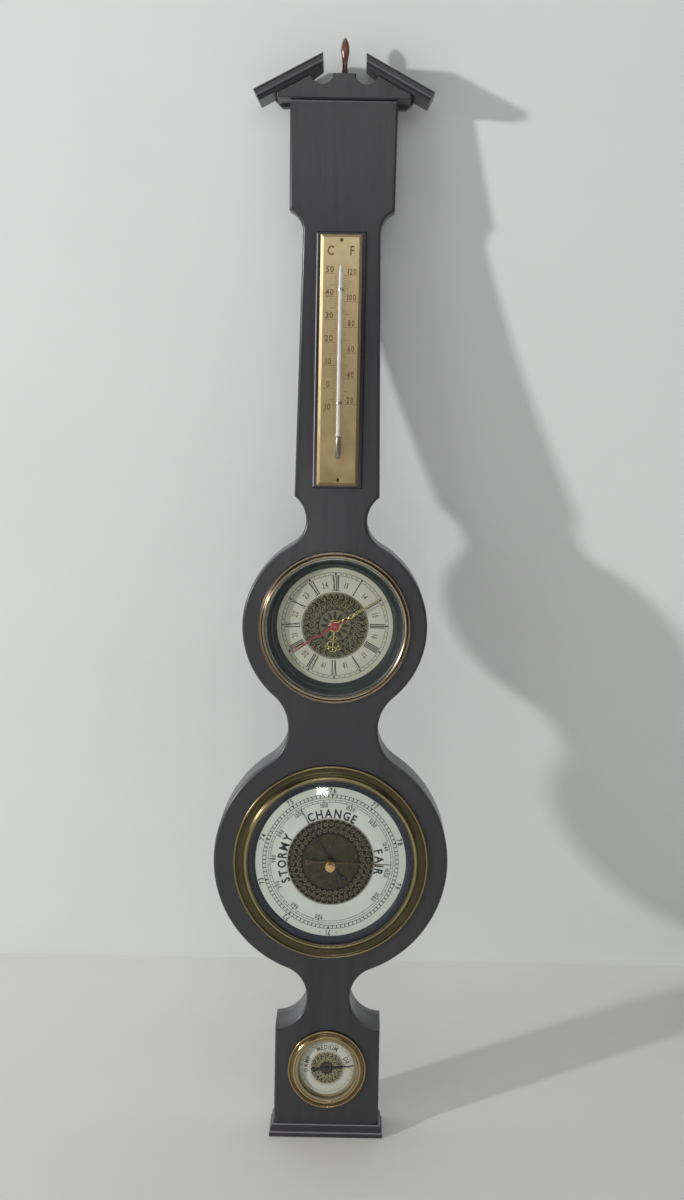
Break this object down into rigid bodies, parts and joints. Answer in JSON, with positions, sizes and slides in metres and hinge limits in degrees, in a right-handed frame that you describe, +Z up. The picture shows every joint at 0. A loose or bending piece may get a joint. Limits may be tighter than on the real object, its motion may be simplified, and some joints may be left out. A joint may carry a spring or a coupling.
{
  "type": "wall weather station",
  "caption": "Wall weather station in dark wood: thermometer, quartz clock, aneroid barometer and hygrometer under a broken pediment with a finial.",
  "frame": {"origin": "centre of the round hole in the hanger plate, in the plane of the wall", "axes": "+Z up, +X to the viewer's right, the dials face -Y and the wall is at Y = 0"},
  "size_m": [0.2068, 0.043, 0.9683],
  "materials": {
    "dark_wood": "satin",
    "red_wood": "gloss",
    "brass": "satin",
    "aged_brass": "gloss",
    "gold_metal": "satin",
    "steel": "satin",
    "spring_steel": "satin",
    "dark_metal": "matt",
    "black_metal": "satin",
    "red_metal": "satin",
    "nickel_silver": "satin",
    "clear_glass": "gloss",
    "silver_liquid": "gloss",
    "cream_card": "matt",
    "black_board": "matt",
    "black_plastic": "matt",
    "white_plastic": "satin",
    "battery_steel": "gloss",
    "green_board": "satin",
    "copper_wire": "gloss",
    "bronze_strip": "satin"
  },
  "bodies": {
    "case": {"back_board": "dark_wood", "front_board": "dark_wood", "tympanum": "dark_wood", "cornice_left": "dark_wood", "cornice_right": "dark_wood", "finial": "red_wood", "base_moulding": "dark_wood", "hanger_plate": "brass", "hanger_screws": "steel", "thermometer_backing": "black_board", "thermometer_plate": "gold_metal", "thermometer_tube": "clear_glass", "thermometer_column": "silver_liquid", "tube_clips": "brass", "plate_pins": "brass", "clock_cup": "steel", "clock_bezel": "aged_brass", "clock_glass": "clear_glass", "clock_well": "dark_metal", "clock_dial": "cream_card", "centre_nut": "brass", "movement_case": "black_plastic", "movement_cover": "black_plastic", "battery": "battery_steel", "circuit_board": "green_board", "stator": "steel", "drive_coil": "copper_wire", "barometer_case": "steel", "barometer_bezel": "aged_brass", "barometer_glass": "clear_glass", "barometer_dial": "cream_card", "capsule": "nickel_silver", "main_spring": "spring_steel", "hairspring": "spring_steel", "mechanism_frame": "brass", "hygrometer_case": "steel", "hygrometer_bezel": "aged_brass", "hygrometer_glass": "clear_glass", "hygrometer_dial": "cream_card", "humidity_coil": "bronze_strip"},
    "minute_hand": {"minute_hand": "gold_metal", "cannon_pinion": "brass"},
    "hour_hand": {"hour_hand": "gold_metal", "hour_wheel": "white_plastic"},
    "motion_wheel": {"motion_wheel": "white_plastic"},
    "setting_knob": {"setting_knob": "black_plastic"},
    "second_hand": {"second_hand": "red_metal", "second_wheel": "white_plastic"},
    "rotor": {"rotor": "dark_metal"},
    "intermediate_wheel": {"intermediate_wheel": "white_plastic"},
    "third_wheel": {"third_wheel": "white_plastic"},
    "centre_wheel": {"centre_wheel": "brass"},
    "pressure_hand": {"barometer_pointer": "black_metal", "pointer_arbor": "steel"},
    "set_hand": {"set_hand": "gold_metal", "set_knob": "brass"},
    "rocking_shaft": {"rocking_shaft": "steel"},
    "main_lever": {"main_lever": "brass"},
    "adjusting_screw": {"adjusting_screw": "brass"},
    "humidity_hand": {"hygrometer_hand": "black_metal"}
  },
  "joints": [
    {"name": "minute_hand_turn", "type": "hinge", "parent": "case", "child": "minute_hand", "pos_m": [0, -0.021, -0.4155], "axis": [0, 1, 0], "continuous": true},
    {"name": "hour_hand_turn", "type": "hinge", "parent": "case", "child": "hour_hand", "pos_m": [0, -0.021, -0.4155], "axis": [0, 1, 0], "continuous": true},
    {"name": "motion_wheel_turn", "type": "hinge", "parent": "case", "child": "motion_wheel", "pos_m": [-0.00902, -0.015, -0.41222], "axis": [0, 1, 0], "continuous": true},
    {"name": "setting_knob_turn", "type": "hinge", "parent": "case", "child": "setting_knob", "pos_m": [-0.01862, -0.003, -0.41222], "axis": [0, 1, 0], "continuous": true},
    {"name": "second_hand_turn", "type": "hinge", "parent": "case", "child": "second_hand", "pos_m": [0, -0.021, -0.4155], "axis": [0, 1, 0], "continuous": true},
    {"name": "rotor_turn", "type": "hinge", "parent": "case", "child": "rotor", "pos_m": [-0.00527, -0.01, -0.39603], "axis": [0, 1, 0], "continuous": true},
    {"name": "intermediate_wheel_turn", "type": "hinge", "parent": "case", "child": "intermediate_wheel", "pos_m": [-0.00107, -0.01, -0.40331], "axis": [0, 1, 0], "continuous": true},
    {"name": "third_wheel_turn", "type": "hinge", "parent": "case", "child": "third_wheel", "pos_m": [0.00973, -0.01, -0.40869], "axis": [0, 1, 0], "continuous": true},
    {"name": "centre_wheel_turn", "type": "hinge", "parent": "case", "child": "centre_wheel", "pos_m": [0, -0.0126, -0.4155], "axis": [0, 1, 0], "continuous": true},
    {"name": "pressure_hand_turn", "type": "hinge", "parent": "case", "child": "pressure_hand", "pos_m": [0, -0.03, -0.6235], "axis": [0, 1, 0], "range_deg": [-139.5, 156.5]},
    {"name": "set_hand_turn", "type": "hinge", "parent": "case", "child": "set_hand", "pos_m": [0, -0.035, -0.6235], "axis": [0, 1, 0], "continuous": true},
    {"name": "rocking_shaft_turn", "type": "hinge", "parent": "case", "child": "rocking_shaft", "pos_m": [0.027, -0.015, -0.6235], "axis": [0, 0, 1], "range_deg": [-17.5, 15.6]},
    {"name": "main_lever_turn", "type": "hinge", "parent": "case", "child": "main_lever", "pos_m": [-0.022, -0.02, -0.6235], "axis": [0, 0, 1], "range_deg": [-1.78, 1.99]},
    {"name": "adjusting_screw_turn", "type": "hinge", "parent": "case", "child": "adjusting_screw", "pos_m": [0, -0.009, -0.6235], "axis": [0, 1, 0], "range_deg": [-360, 360]},
    {"name": "humidity_hand_turn", "type": "hinge", "parent": "case", "child": "humidity_hand", "pos_m": [0, -0.02, -0.8097], "axis": [0, 1, 0], "range_deg": [-204, 36]}
  ],
  "couplings": [
    {"joint": "hour_hand_turn", "follows": "minute_hand_turn", "ratio": 0.083333},
    {"joint": "motion_wheel_turn", "follows": "minute_hand_turn", "ratio": -0.33333},
    {"joint": "setting_knob_turn", "follows": "minute_hand_turn", "ratio": 1},
    {"joint": "intermediate_wheel_turn", "follows": "second_hand_turn", "ratio": -5},
    {"joint": "rotor_turn", "follows": "second_hand_turn", "ratio": 30},
    {"joint": "third_wheel_turn", "follows": "second_hand_turn", "ratio": -0.125},
    {"joint": "centre_wheel_turn", "follows": "second_hand_turn", "ratio": 0.016667},
    {"joint": "rocking_shaft_turn", "follows": "pressure_hand_turn", "ratio": -0.11111},
    {"joint": "main_lever_turn", "follows": "pressure_hand_turn", "ratio": 0.012626}
  ]
}
